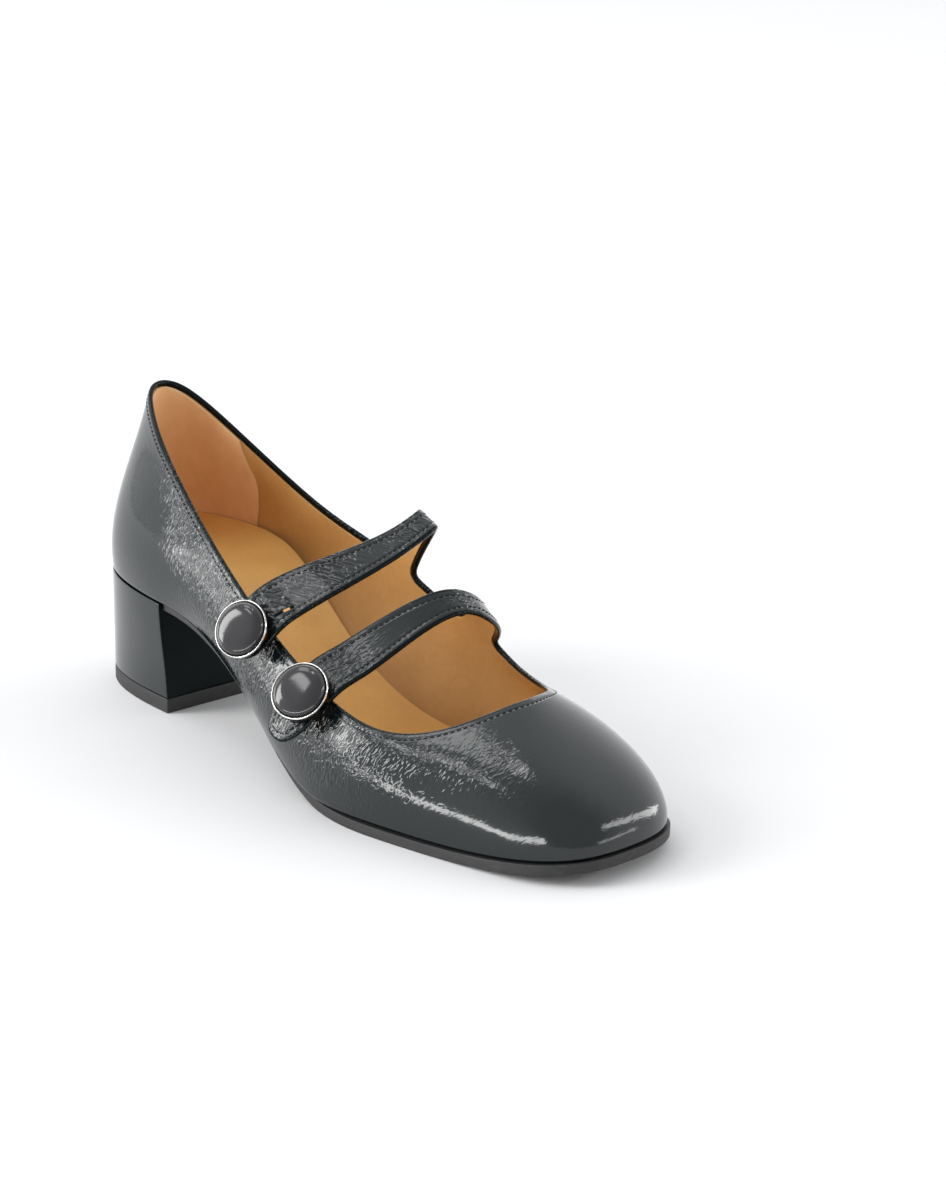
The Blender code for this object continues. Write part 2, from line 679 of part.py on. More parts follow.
def main():
    for obj in list(bpy.data.objects):
        bpy.data.objects.remove(obj)
    patent = add_material("patent_leather", (0.012, 0.013, 0.014), 0.18)
    lining = add_material("lining_leather", (0.55, 0.30, 0.11), 0.5)
    rubber = add_material("sole_rubber", (0.02, 0.02, 0.022), 0.6)
    chrome = add_material("polished_metal", (0.75, 0.73, 0.7), 0.12, 1.0)
    cap = add_material("button_cap", (0.02, 0.02, 0.022), 0.3)
    build_upper(patent)
    build_insole(lining)
    build_outsole(rubber)
    build_heel(patent)
    build_top_piece(rubber)
    for strap in STRAPS:
        build_button(strap, chrome, cap)
    centre_on_floor()


if __name__ == "__main__":
    main()
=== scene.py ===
"""Right-foot block-heel pump with two buttoned instep straps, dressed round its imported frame.

Metres, +Z up, toe towards +X, inner side (big toe) towards +Y. The origin is the middle of the
shoe's box, on the floor.
"""

import heapq
import logging
import math
from collections.abc import Iterable
from dataclasses import dataclass, field, replace
from enum import Enum

import bmesh
import bpy
import numpy as np
from bmesh.types import BMEdge, BMFace, BMVert
from bpy.types import Material, NodeSocket
from mathutils import Matrix, Vector


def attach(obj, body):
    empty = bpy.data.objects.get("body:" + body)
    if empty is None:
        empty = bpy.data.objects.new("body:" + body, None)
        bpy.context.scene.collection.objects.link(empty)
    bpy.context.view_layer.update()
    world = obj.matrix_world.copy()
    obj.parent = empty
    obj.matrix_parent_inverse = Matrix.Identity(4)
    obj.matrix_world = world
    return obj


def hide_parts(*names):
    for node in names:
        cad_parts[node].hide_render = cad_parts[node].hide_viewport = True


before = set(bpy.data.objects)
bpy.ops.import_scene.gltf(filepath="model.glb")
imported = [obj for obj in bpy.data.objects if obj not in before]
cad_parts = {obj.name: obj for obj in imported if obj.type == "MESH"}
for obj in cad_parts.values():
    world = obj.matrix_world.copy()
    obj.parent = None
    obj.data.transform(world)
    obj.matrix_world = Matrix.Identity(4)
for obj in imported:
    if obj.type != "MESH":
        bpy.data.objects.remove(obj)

MM = 0.001
METRE = 1000.0  # in mm
LOG = logging.getLogger("pump")

Triple = tuple[float, float, float]  # a colour in linear light, a place or a cell's sides
Profile = tuple[tuple[float, float], ...]
Folds = tuple[Triple, float, Triple]  # a wrinkle's sides in mm, how far it strays, how it is turned


# ---- shader nodes


class Value:
    """A number that varies over a surface. An expression on it adds its Math nodes."""

    def __init__(self, recipe: "Recipe", socket: NodeSocket) -> None:
        """Keeps the recipe that the value belongs to, and its socket."""
        self.recipe = recipe
        self.socket = socket

    def _math(self, operation: str, *terms: "Value | float") -> "Value":
        """Adds one Math node."""
        return self.recipe.value("ShaderNodeMath", {"operation": operation}, dict(enumerate(terms)))

    def __add__(self, other: "Value | float") -> "Value":
        """Adds."""
        return self._math("ADD", self, other)

    __radd__ = __add__

    def __sub__(self, other: "Value | float") -> "Value":
        """Takes away."""
        return self._math("SUBTRACT", self, other)

    def __rsub__(self, other: float) -> "Value":
        """Takes the value away from a number."""
        return self._math("SUBTRACT", other, self)

    def __mul__(self, other: "Value | float") -> "Value":
        """Multiplies."""
        return self._math("MULTIPLY", self, other)

    __rmul__ = __mul__

    def size(self) -> "Value":
        """Drops the sign, which puts a sharp valley at 0."""
        return self._math("ABSOLUTE", self)

    def ease(self, low: float, high: float) -> "Value":
        """Runs smoothly from 0 at low to 1 at high, whichever of the two is greater."""
        ends = {1: low, 2: high} if low < high else {1: high, 2: low, 3: 1.0, 4: 0.0}
        settings = {"interpolation_type": "SMOOTHSTEP"}
        return self.recipe.value("ShaderNodeMapRange", settings, {0: self, **ends})

    def band(self, middle: float, half: float) -> "Value":
        """A soft line, 1 at the middle and 0 from half away."""
        return self.ease(middle - half, middle) * self.ease(middle + half, middle)


class Recipe:
    """The node tree of a finish or of the surround. One method adds any node to it."""

    STRAY_CELL = 5.0  # a wrinkle strays to and fro over this many mm
    STRAY_RISE = -0.7  # how far it strays along its third axis
    FOLD_GAIN = 2.2  # brings the noise's heights to about -0.5 to 0.5

    def __init__(self, holder: "Material | bpy.types.World") -> None:
        """Empties the tree of a material or of a world."""
        self.holder = holder
        holder.use_nodes = True
        self.tree = holder.node_tree
        self.tree.nodes.clear()

    @classmethod
    def of_finish(cls, name: str) -> "Recipe":
        """The empty tree of a new material of that name."""
        return cls(bpy.data.materials.new(name))

    def node(self, kind: str, settings: dict, sockets: dict) -> bpy.types.Node:
        """Adds a node.

        Args:
            kind: the node's type.
            settings: its settings, which are set first.
            sockets: a value or a link for each input, by name or number.

        Returns:
            The node.
        """
        made = self.tree.nodes.new(kind)
        for name, setting in settings.items():
            setattr(made, name, setting)
        for name, value in sockets.items():
            source = value.socket if isinstance(value, Value) else value
            if isinstance(source, NodeSocket):
                self.tree.links.new(source, made.inputs[name])
            else:
                made.inputs[name].default_value = source
        return made

    def value(self, kind: str, settings: dict, sockets: dict, output: int | str = 0) -> Value:
        """Adds a node and returns one of its outputs as a value."""
        return Value(self, self.node(kind, settings, sockets).outputs[output])

    def mark(self, name: str) -> Value:
        """Reads one of the piece's own attributes."""
        return self.value("ShaderNodeAttribute", {"attribute_name": name}, {}, "Fac")

    def spot(self) -> NodeSocket:
        """Object coordinates, in metres."""
        return self.node("ShaderNodeTexCoord", {}, {}).outputs["Object"]

    def place(self, cell: float | Triple) -> NodeSocket:
        """Object coordinates counted in cells of this size, in millimetres."""
        sides = cell if isinstance(cell, tuple) else (cell, cell, cell)
        sockets = {"Vector": self.spot(), "Scale": tuple(METRE / side for side in sides)}
        return self.node("ShaderNodeMapping", {}, sockets).outputs[0]

    def noise(
        self, cell: "float | Triple | NodeSocket", detail: float = 2.0, rough: float = 0.5
    ) -> Value:
        """Soft noise, one bump to a cell, or one to each unit of a place."""
        place = cell if isinstance(cell, NodeSocket) else self.place(cell)
        sockets = {"Vector": place, "Scale": 1.0, "Detail": detail, "Roughness": rough}
        return self.value("ShaderNodeTexNoise", {}, sockets)

    def folds(self, cell: Triple, warp: float, turn: Triple) -> Value:
        """Long wrinkles that wander and fork.

        Args:
            cell: size of one wrinkle along each axis, in millimetres.
            warp: how far the wrinkles stray, in widths of a wrinkle.
            turn: how the pattern is turned about each axis, in radians.

        Returns:
            Their height, mostly from -0.5 to 0.5.
        """
        scale = tuple(side * MM for side in cell)
        sockets = {"Vector": self.spot(), "Rotation": turn, "Scale": scale}
        turned = self.node("ShaderNodeMapping", {"vector_type": "TEXTURE"}, sockets).outputs[0]
        stray = self.noise(self.STRAY_CELL, 1.0) - 0.5
        strays = {0: stray * warp, 1: stray, 2: stray * self.STRAY_RISE}
        shift = self.node("ShaderNodeCombineXYZ", {}, strays).outputs[0]
        moved = self.node("ShaderNodeVectorMath", {"operation": "ADD"}, {0: turned, 1: shift})
        return (self.noise(moved.outputs[0], 1.0, 0.4) - 0.5) * self.FOLD_GAIN

    def pores(self, cell: float) -> Value:
        """Distance to the middle of irregular cells of this size, in millimetres."""
        return self.value("ShaderNodeTexVoronoi", {}, {"Vector": self.place(cell), "Scale": 1.0})

    def tint(self, share: Value, first: "Triple | NodeSocket", second: Triple) -> NodeSocket:
        """A colour between two, in linear light."""
        sockets = {0: share, 6: self._colour(first), 7: self._colour(second)}
        return self.node("ShaderNodeMix", {"data_type": "RGBA"}, sockets).outputs[2]

    @staticmethod
    def _colour(colour: "Triple | NodeSocket") -> "tuple | NodeSocket":
        """Gives a plain colour its fourth number."""
        return colour if isinstance(colour, NodeSocket) else (*colour, 1.0)

    def relief(self, height: Value, depth: float) -> NodeSocket:
        """Turns a height of 0 to 1 into a normal, depth metres deep."""
        return self.node("ShaderNodeBump", {}, {"Height": height, "Distance": depth}).outputs[0]

    def dress(self, **sockets: object) -> Material:
        """Ends the tree in a Principled surface.

        Args:
            sockets: its sockets by name, with an underscore for each space.

        Returns:
            The material.
        """
        named = {name.replace("_", " "): value for name, value in sockets.items()}
        shader = self.node("ShaderNodeBsdfPrincipled", {}, named)
        self.node("ShaderNodeOutputMaterial", {}, {"Surface": shader.outputs[0]})
        return self.holder


# ---- finishes


@dataclass(frozen=True)
class BlackLeather:
    """Smooth black leather under a clear lacquer."""

    name: str
    black: Triple = (0.0026, 0.0058, 0.0062)
    worn: Triple = (0.0052, 0.0096, 0.0102)
    dull: float = 0.08
    duller: float = 0.04  # what wear adds to that
    lacquer: float = 0.2
    lacquer_dull: float = 0.06
    shine: float = 0.5
    cloud: float = 9.0  # size of the worn patches, mm
    wave: float = 11.0  # of the slow waves, mm
    swell: float = 0.03 * MM  # how high they are
    fibre: float = 0.3  # size of the grain, mm
    grain: float = 0.004 * MM  # how high it is

    def material(self) -> Material:
        """Makes the finish.

        Returns:
            The material.
        """
        recipe = Recipe.of_finish(self.name)
        slow, fibre, cloud = (recipe.noise(cell) for cell in (self.wave, self.fibre, self.cloud))
        height = slow * (self.swell * METRE) + fibre * (self.grain * METRE)
        return recipe.dress(
            Base_Color=recipe.tint(cloud, self.black, self.worn),
            Roughness=self.dull + cloud * self.duller,
            Specular_IOR_Level=self.shine,
            Coat_Weight=self.lacquer,
            Coat_Roughness=self.lacquer_dull,
            Normal=recipe.relief(height, 1.0 * MM),
        )


@dataclass(frozen=True)
class Patent(BlackLeather):
    """Patent leather with the fine wrinkles that its lacquer shows up, a buttonhole's slit with
    painted shade inside it, and painted shade along its folded edge.
    """

    dull: float = 0.09
    swell: float = 0.16 * MM
    grain: float = 0.005 * MM
    lining: Triple = (0.62, 0.33, 0.12)  # seen through the buttonhole
    wave: float = 9.6
    foot_folds: Folds = ((1.5, 3.3, 3.3), 1.6, (0.0, 0.5, 0.0))  # the wrinkles round the foot
    strap_folds: Folds = ((6.144, 1.76, 5.12), 1.8, (0.5, 0.0, 0.3))  # and along the straps
    wrinkle: float = 0.85 * MM  # how high they are on the straps
    finer: float = 0.9  # how high those round the foot are beside them
    seam: float = 0.16 * MM  # how deep the stitches pull the leather in
    seam_at: float = 2.0  # how far below the top edge, mm
    seam_half: float = 0.9
    slit: float = 0.5 * MM  # how deep a buttonhole goes
    slit_half: tuple[float, float] = (4.4, 1.0)  # half its length and width, mm
    slit_dull: float = 0.5
    gap_at: float = 0.8  # the middle of the stretch where it gapes, mm along it
    gap_half: tuple[float, float] = (1.6, 0.8)
    edge_shade: float = 0.8  # how strongly the folded edge is painted dark, its coat taken off: painted shade

    def material(self) -> Material:
        """Makes the finish.

        Returns:
            The material.
        """
        recipe = Recipe.of_finish(self.name)
        around, lengthwise = recipe.folds(*self.foot_folds), recipe.folds(*self.strap_folds)
        slow, fibre, cloud = (recipe.noise(cell) for cell in (self.wave, self.fibre, self.cloud))
        strap, crinkle, edge = (recipe.mark(name) for name in ("strap", "crinkle", "edge"))
        along, across = recipe.mark("slit_along"), recipe.mark("slit_across")
        (length, width), (gap_length, gap_width) = self.slit_half, self.gap_half
        # the buttonhole's slit: cut into the relief and rougher, and painted black where it does
        # not gape, which is painted shade
        hole = along.band(0.0, length).ease(0.0, 0.2) * across.band(0.0, width).ease(0.1, 0.7)
        gap = along.band(self.gap_at, gap_length).ease(0.0, 0.5)
        gap = gap * across.band(0.0, gap_width).ease(0.2, 0.6)
        creased = around.size() * (1 - strap) * self.finer + lengthwise.size() * strap
        # painted shade: the folded edge becomes near-black metal without its coat, which takes its
        # reflection away
        fold_shade = (1 - edge.ease(0.05, 0.5)) * self.edge_shade
        amount = crinkle * (0.5 + cloud) * (1 - hole)
        height = creased * amount * self.wrinkle + slow * crinkle * self.swell
        height = height - edge.band(self.seam_at, self.seam_half) * self.seam
        height = (height - hole * self.slit) * METRE + fibre * (self.grain * METRE)
        return recipe.dress(
            Base_Color=recipe.tint(gap, recipe.tint(cloud, self.black, self.worn), self.lining),
            Roughness=self.dull + cloud * self.duller + hole * self.slit_dull,
            # near-black metal takes the reflection away: painted shade in the slit and along the
            # folded edge
            Metallic=hole * (1 - gap) + fold_shade * (1 - hole),
            Coat_Weight=self.lacquer * (1 - hole) * (1 - fold_shade),
            Coat_Roughness=self.lacquer_dull,
            Normal=recipe.relief(height, 1.0 * MM),
        )


@dataclass(frozen=True)
class Finish:
    """A finish whose colour drifts over a broad noise, and whose skin is a fine one."""

    name: str
    first: Triple
    second: Triple
    broad: tuple  # cell in mm, detail and roughness of the noise that the colour follows
    fine: tuple  # and of the noise that the relief follows
    dull: float
    duller: tuple[float, float] = (0.0, 0.0)  # what the broad and the fine noise add to that
    depth: float = 0.0  # of the relief, m
    share: float = 1.0  # how much of the colour follows the broad noise, and not the fine one
    ends: tuple[float, ...] = ()  # where in the noise the colour starts and stops changing
    pores: float = 0.0  # their size, where they make half of the relief, mm
    fixed: dict[str, float] = field(default_factory=dict)  # the shader's other sockets

    def material(self) -> Material:
        """Makes the finish.

        Returns:
            The material.
        """
        recipe = Recipe.of_finish(self.name)
        broad, fine = recipe.noise(*self.broad), recipe.noise(*self.fine)
        tone = broad * self.share + fine * (1 - self.share) if self.share < 1 else broad
        tone = tone.ease(*self.ends) if self.ends else tone
        dull = self.dull
        for noise, more in zip((broad, fine), self.duller):
            dull = dull + noise * more if more else dull
        sockets = {"Base Color": recipe.tint(tone, self.first, self.second), "Roughness": dull}
        if self.depth:
            height = recipe.pores(self.pores) * 0.5 + fine * 0.5 if self.pores else fine
            sockets["Normal"] = recipe.relief(height, self.depth)
        return recipe.dress(**sockets, **self.fixed)


CALF = Finish(  # smooth tan leather
    "tan_calf",
    (0.6, 0.34, 0.12),
    (0.52, 0.28, 0.09),
    broad=(18.0, 3.0),
    fine=(1.6, 4.0, 0.6),
    dull=0.46,
    duller=(0.0, 0.12),
    depth=0.02 * MM,
    share=0.7,
    ends=(0.3, 0.7),
    pores=0.55,
)
# the lining's leather painted lighter for the sock: painted light that makes up for the shade deep
# inside the shoe
LIT_SOCK_CALF = replace(CALF, name="tan_sock_painted_light", first=(0.76, 0.44, 0.13), second=(0.68, 0.37, 0.1))
SUEDE = Finish(  # napped leather with its pile brushed one way and the other
    "grip_suede",
    (0.86, 0.53, 0.26),
    (0.78, 0.44, 0.195),
    broad=((11.0, 11.0, 16.0), 3.0),
    fine=((0.3, 0.3, 0.5), 3.0, 0.7),
    dull=0.86,
    duller=(0.0, 0.1),
    depth=0.06 * MM,
    share=0.75,
    ends=(0.32, 0.68),
    fixed={"Sheen Weight": 0.25, "Sheen Roughness": 0.5},
)
RUBBER = Finish(  # moulded, with a fine matt skin and light scuffs
    "black_rubber",
    (0.016, 0.016, 0.017),
    (0.036, 0.035, 0.036),
    broad=((14.0, 3.0, 1.2), 4.0, 0.7),
    fine=(0.5, 3.0, 0.65),
    dull=0.5,
    duller=(0.0, 0.16),
    depth=0.03 * MM,
    ends=(0.5, 0.75),
)
SILVER = Finish(  # polished, with a faint haze
    "polished_silver",
    (0.86, 0.85, 0.82),
    (0.7, 0.68, 0.64),
    broad=(2.2, 3.0),
    fine=(2.2, 3.0),
    dull=0.07,
    duller=(0.08, 0.0),
    depth=0.01 * MM,
    fixed={"Metallic": 1.0},
)
# the silver painted near black for the button's seat: painted shade and dark reflection on its side
# wall and round the ring
SHADED_SILVER = replace(
    SILVER, name="shaded_silver", first=(0.03, 0.03, 0.032), second=(0.018, 0.018, 0.02)
)
SMOKED_STONE = Finish(  # polished
    "smoked_dome",
    (0.014, 0.0135, 0.015),
    (0.026, 0.0255, 0.028),
    broad=(5.0, 3.0),
    fine=(0.4,),
    dull=0.07,
    duller=(0.05, 0.0),
    depth=0.006 * MM,
    fixed={"Coat Weight": 0.1, "Coat Roughness": 0.04},
)
THREAD = Finish(  # twisted
    "black_thread",
    (0.006, 0.006, 0.0065),
    (0.02, 0.02, 0.021),
    broad=(0.3, 2.0, 0.6),
    fine=(0.3, 2.0, 0.6),
    dull=0.6,
    duller=(0.2, 0.0),
    depth=0.05 * MM,
    fixed={"Specular IOR Level": 0.2},
)
PAPER = Finish(  # the studio's pale floor
    "floor_paper",
    (0.82, 0.82, 0.82),
    (0.8, 0.8, 0.805),
    broad=(400.0,),
    fine=(400.0,),
    dull=0.8,
    fixed={"Specular IOR Level": 0.05},
)


# ---- shapes


def unit(vectors: np.ndarray) -> np.ndarray:
    """Scales rows to a length of 1."""
    return vectors / np.maximum(np.linalg.norm(vectors, axis=-1, keepdims=True), 1e-12)


def smoothstep(value: np.ndarray) -> np.ndarray:
    """Runs smoothly from 0 at 0 to 1 at 1."""
    value = np.clip(value, 0.0, 1.0)
    return value * value * (3 - 2 * value)


def standing(x: Iterable, y: Iterable, z: Iterable, at: Iterable) -> Matrix:
    """The matrix that has these axes and stands at this point."""
    return Matrix([*zip(x, y, z, at), (0, 0, 0, 1)])


def added(name: str, data: bpy.types.ID) -> bpy.types.Object:
    """Puts an object that holds this mesh, light or camera in the scene."""
    made = bpy.data.objects.new(name, data)
    bpy.context.scene.collection.objects.link(made)
    return made


class End(Enum):
    """Which open edge of a sheet round the shoe, as the sign of its height."""

    TOP = 1
    FOOT = -1


class Shape:
    """A mesh being made, with the moves that several pieces share."""

    MERGED = 0.002 * MM  # corners of the CAD's triangles that are nearer than this are one
    FLATTENED = 1e-3  # how small a sheet is drawn while it is cut along a measure

    def __init__(self) -> None:
        """Starts empty."""
        self.mesh = bmesh.new()

    @classmethod
    def of_node(cls, node: str) -> "Shape":
        """A copy of a CAD node, with its loose triangles merged.

        Args:
            node: the node's name.

        Returns:
            The closed shape.
        """
        shape = cls()
        shape.mesh.from_mesh(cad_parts[node].data)
        bmesh.ops.remove_doubles(shape.mesh, verts=shape.mesh.verts, dist=cls.MERGED)
        return shape

    @classmethod
    def rounded_node(cls, node: str, bend: float, radius: float, segments: int = 2) -> "Shape":
        """A fine copy of a CAD node with its sharp edges rounded.

        Args:
            node: the node's name.
            bend: edges whose faces meet at more than this many degrees are rounded.
            radius: how far from the edge the round starts, in metres.
            segments: how many faces go round it before it is made finer.

        Returns:
            The closed shape.
        """
        shape = cls.of_node(node)
        shape.join_quads()
        sharp = [e for e in shape.mesh.edges if e.calc_face_angle(0.0) > math.radians(bend)]
        bmesh.ops.bevel(
            shape.mesh,
            geom=sharp,
            offset=radius,
            affect="EDGES",
            segments=segments,
            profile=0.5,
            material=-1,
            clamp_overlap=True,
        )
        return shape.smoothed(2)

    def join_quads(self) -> None:
        """Joins triangles to the quads that they came from."""
        bmesh.ops.join_triangles(
            self.mesh,
            faces=[face for face in self.mesh.faces if len(face.verts) == 3],
            angle_face_threshold=0.9,
            angle_shape_threshold=1.57,
            topology_influence=2.0,
        )

    def join_rows(self) -> None:
        """Joins the triangles of a sheet to quads, row by row up from its lower edge."""
        row = {vertex: 0 for vertex in self.rim(End.FOOT)}
        front = list(row)
        while front:
            ahead = [edge.other_vert(vertex) for vertex in front for edge in vertex.link_edges]
            above = row[front[0]] + 1
            front = list(dict.fromkeys(vertex for vertex in ahead if vertex not in row))
            row.update((vertex, above) for vertex in front)

        def sides(face: BMFace) -> list[BMEdge]:
            """The face's edges that climb a row and have a face on both sides."""
            inner = [edge for edge in face.edges if not edge.is_boundary]
            return [edge for edge in inner if row[edge.verts[0]] != row[edge.verts[1]]]

        spare = dict.fromkeys(self.mesh.faces)
        joins: list[BMEdge] = []
        for start in sorted(spare, key=lambda face: len(sides(face))):
            if start not in spare:
                continue
            crossed: list[BMEdge] = []
            here = start
            while here in spare:
                del spare[here]
                onward = [edge for edge in sides(here) if edge not in crossed[-1:]]
                if onward:
                    crossed.append(onward[0])
                    here = next(face for face in onward[0].link_faces if face is not here)
            choices = (crossed[0::2], crossed[1::2])
            if len(sides(start)) == 1:
                joins += choices[0]
            else:
                joins += max(choices, key=lambda edges: sum(edge.calc_length() for edge in edges))
        bmesh.ops.dissolve_edges(self.mesh, edges=joins, use_verts=False, use_face_split=False)
        self.join_quads()
        self.face_out()

    def toe(self) -> BMFace:
        """The face that reaches furthest forward."""
        return max(self.mesh.faces, key=lambda face: face.calc_center_median().x)

    def face_out(self) -> None:
        """Turns every face of an open sheet round the shoe outwards."""
        bmesh.ops.recalc_face_normals(self.mesh, faces=self.mesh.faces)
        self.mesh.normal_update()
        if self.toe().normal.x < 0:
            bmesh.ops.reverse_faces(self.mesh, faces=self.mesh.faces)

    def keep_skin(self, seed: BMFace, bend: float) -> None:
        """Keeps the part of the surface that holds one face and ends at sharp bends.

        Args:
            seed: that face.
            bend: how sharp a bend ends it, in degrees.
        """
        seen = {seed}
        todo = [seed]
        while todo:
            for edge in todo.pop().edges:
                if edge.calc_face_angle(math.pi) > math.radians(bend):
                    continue
                fresh = [face for face in edge.link_faces if face not in seen]
                seen.update(fresh)
                todo.extend(fresh)
        rest = [face for face in self.mesh.faces if face not in seen]
        bmesh.ops.delete(self.mesh, geom=rest, context="FACES")

    def smoothed(self, levels: int) -> "Shape":
        """Subdivides the shape, with the numbers written on it.

        Args:
            levels: how many times.

        Returns:
            The finer shape.
        """
        rough = self.held("smoothing")
        modifier = rough.modifiers.new("smooth", "SUBSURF")
        modifier.levels = levels
        modifier.render_levels = levels
        bpy.context.view_layer.update()
        ready = rough.evaluated_get(bpy.context.evaluated_depsgraph_get())
        fine = Shape()
        fine.mesh.from_mesh(ready.data)
        bpy.data.objects.remove(rough)
        return fine

    def copy(self) -> "Shape":
        """Copies the shape.

        Returns:
            A separate one.
        """
        twin = Shape()
        twin.mesh.free()
        twin.mesh = self.mesh.copy()
        return twin

    def points(self) -> np.ndarray:
        """Every vertex's place."""
        return np.array([vertex.co for vertex in self.mesh.verts], float)

    def normals(self) -> np.ndarray:
        """Every vertex's outward direction."""
        self.mesh.normal_update()
        return np.array([vertex.normal for vertex in self.mesh.verts], float)

    def move_to(self, points: np.ndarray) -> None:
        """Moves every vertex."""
        for vertex, point in zip(self.mesh.verts, points):
            vertex.co = point

    def write(self, name: str, values: np.ndarray) -> None:
        """Writes a number or a vector on every vertex.

        Args:
            name: what it is read by.
            values: one number or one row for each vertex.
        """
        kinds = self.mesh.verts.layers
        layers = kinds.float if values.ndim == 1 else kinds.float_vector
        layer = layers.get(name) or layers.new(name)
        for vertex, value in zip(self.mesh.verts, values.tolist()):
            vertex[layer] = value

    def read(self, name: str) -> np.ndarray:
        """Reads a number or a vector from every vertex."""
        kinds = self.mesh.verts.layers
        layer = kinds.float.get(name) or kinds.float_vector[name]
        return np.array([vertex[layer] for vertex in self.mesh.verts], float)

    def softened(self, values: np.ndarray, rounds: int) -> np.ndarray:
        """Averages rows of values over each vertex's neighbours, again and again.

        Args:
            values: one row for each vertex.
            rounds: how many times.

        Returns:
            The softened rows.
        """
        self.mesh.verts.index_update()
        ends = np.array([[vertex.index for vertex in edge.verts] for edge in self.mesh.edges])
        links = np.bincount(ends.ravel(), minlength=len(values))[:, None]
        for _ in range(rounds):
            total = np.zeros_like(values)
            np.add.at(total, ends[:, 0], values[ends[:, 1]])
            np.add.at(total, ends[:, 1], values[ends[:, 0]])
            values = (values + total / links) / 2
        return values

    def trim(self, measure: np.ndarray) -> None:
        """Cuts the sheet where a measure is 0, and keeps the side where it is above 0.

        Args:
            measure: one number for each vertex.
        """
        home = self.points()
        self.write("home", home)
        self.move_to(np.column_stack((home[:, :2] * self.FLATTENED, measure)))
        bmesh.ops.bisect_plane(
            self.mesh,
            geom=[*self.mesh.verts, *self.mesh.edges, *self.mesh.faces],
            dist=1e-9,
            plane_co=(0, 0, 0),
            plane_no=(0, 0, 1),
            clear_inner=True,
        )
        self.move_to(self.read("home"))

    def rim(self, end: End) -> list[BMVert]:
        """Walks round one of the sheet's open edges.

        Args:
            end: which edge.

        Returns:
            Its vertices in order.
        """
        links: dict[BMVert, list[BMVert]] = {}
        for edge in (edge for edge in self.mesh.edges if edge.is_boundary):
            for here, there in (edge.verts, reversed(edge.verts)):
                links.setdefault(here, []).append(there)
        start = max(links, key=lambda vertex: vertex.co.z * end.value)
        loop = [start, links[start][0]]
        while len(loop) <= len(links):
            ahead = [vertex for vertex in links[loop[-1]] if vertex is not loop[-2]]
            if ahead[0] is start:
                break
            loop.append(ahead[0])
        return loop

    def held(self, name: str) -> bpy.types.Object:
        """A plain object that holds a copy of the mesh."""
        data = bpy.data.meshes.new(name)
        self.mesh.to_mesh(data)
        return added(name, data)

    def piece(
        self,
        name: str,
        material: Material,
        slot: str,
        replaces: tuple[str, ...] = (),
        sharp: float = 40.0,
        wall: float = 0.0,
    ) -> None:
        """Ends the shape as a piece of the shoe.

        Args:
            name: the piece's name.
            material: its finish.
            slot: the record's material slot; not used.
            replaces: the CAD nodes that it stands for.
            sharp: faces that meet at more than this many degrees keep an edge.
            wall: how thick an open sheet becomes, behind its faces.
        """
        made = self.held(name)
        made.data.materials.append(material)
        made.data.shade_smooth()
        made.data.set_sharp_from_angle(angle=math.radians(sharp))
        if wall:
            solid = made.modifiers.new("wall", "SOLIDIFY")
            solid.thickness = wall
            solid.offset = -1.0
        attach(made, "root")
        if replaces:
            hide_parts(*replaces)
        LOG.info("%s: %d faces", name, len(made.data.polygons))


# ---- the upper


@dataclass
class Rim:
    """An open edge of a sheet, point by point."""

    verts: list[BMVert]
    order: np.ndarray  # the vertices' numbers in the sheet
    points: np.ndarray
    out: np.ndarray  # away from the sheet's outer face
    off: np.ndarray  # in the sheet's own plane, off its edge

    @classmethod
    def of(cls, shape: Shape, end: End) -> "Rim":
        """Reads an open edge of a sheet.

        Args:
            shape: the sheet.
            end: which edge.

        Returns:
            The edge.
        """
        verts = shape.rim(end)
        shape.mesh.verts.index_update()
        order = np.array([vertex.index for vertex in verts])
        points, out = shape.points()[order], shape.normals()[order]
        run = unit(np.roll(points, -1, axis=0) - np.roll(points, 1, axis=0))
        off = unit(np.cross(run, out))
        inner = [face.calc_center_median() for face in verts[0].link_faces]
        inward = np.array(sum(inner, Vector()) / len(inner)) - points[0]
        if np.dot(off[0], inward) > 0:
            off = -off
        return cls(verts, order, points, out, off)

    def steps(self) -> np.ndarray:
        """Length of each step to the next point."""
        return np.linalg.norm(np.roll(self.points, -1, axis=0) - self.points, axis=1)

    def extrude(self, mesh: bmesh.types.BMesh, rows: list[np.ndarray]) -> None:
        """Grows the sheet from this edge, a row of faces at a time.

        Args:
            mesh: the sheet's mesh.
            rows: for each new row, where every point of the edge goes.
        """
        place = {vertex: i for i, vertex in enumerate(self.verts)}
        ring = [e for e in mesh.edges if e.is_boundary and all(v in place for v in e.verts)]
        for row in rows:
            made = bmesh.ops.extrude_edge_only(mesh, edges=ring)["geom"]
            moved = {}
            for vertex in (item for item in made if isinstance(item, BMVert)):
                linked = (edge.other_vert(vertex) for edge in vertex.link_edges)
                moved[vertex] = place[next(other for other in linked if other in place)]
                vertex.co = row[moved[vertex]]
            place = moved
            ring = [e for e in made if isinstance(e, BMEdge) and all(v in place for v in e.verts)]


@dataclass(frozen=True)
class Spot:
    """A patch where the leather differs: its middle and reach in mm, and how much it adds there."""

    at: Triple
    reach: float
    more: float


